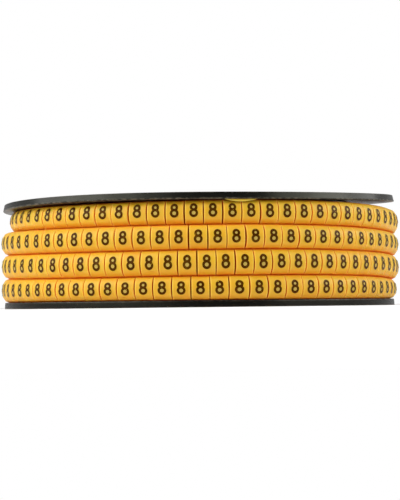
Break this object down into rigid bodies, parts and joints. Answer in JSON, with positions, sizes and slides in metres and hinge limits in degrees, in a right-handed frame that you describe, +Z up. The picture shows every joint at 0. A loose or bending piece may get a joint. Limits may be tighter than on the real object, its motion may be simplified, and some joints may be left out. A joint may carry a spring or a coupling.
{
  "type": "cable marker",
  "caption": "Roll of numbered cable markers: a soft yellow tube strip, cut nearly through into short tubes, wound in rows on a black plastic reel with a centre bore.",
  "frame": {"origin": "on the reel's axis, in the plane of the lower flange's outer face", "axes": "+Z up along the reel's axis, -Y towards the viewer of the picture, +X to its right"},
  "size_m": [0.1274, 0.1274, 0.0365],
  "materials": {
    "reel": "satin moulded black",
    "markers": "soft yellow PVC with dark printed figures"
  },
  "bodies": {
    "root": {"lower_half": "reel", "upper_half": "reel", "marker_strip": "markers"}
  },
  "joints": []
}
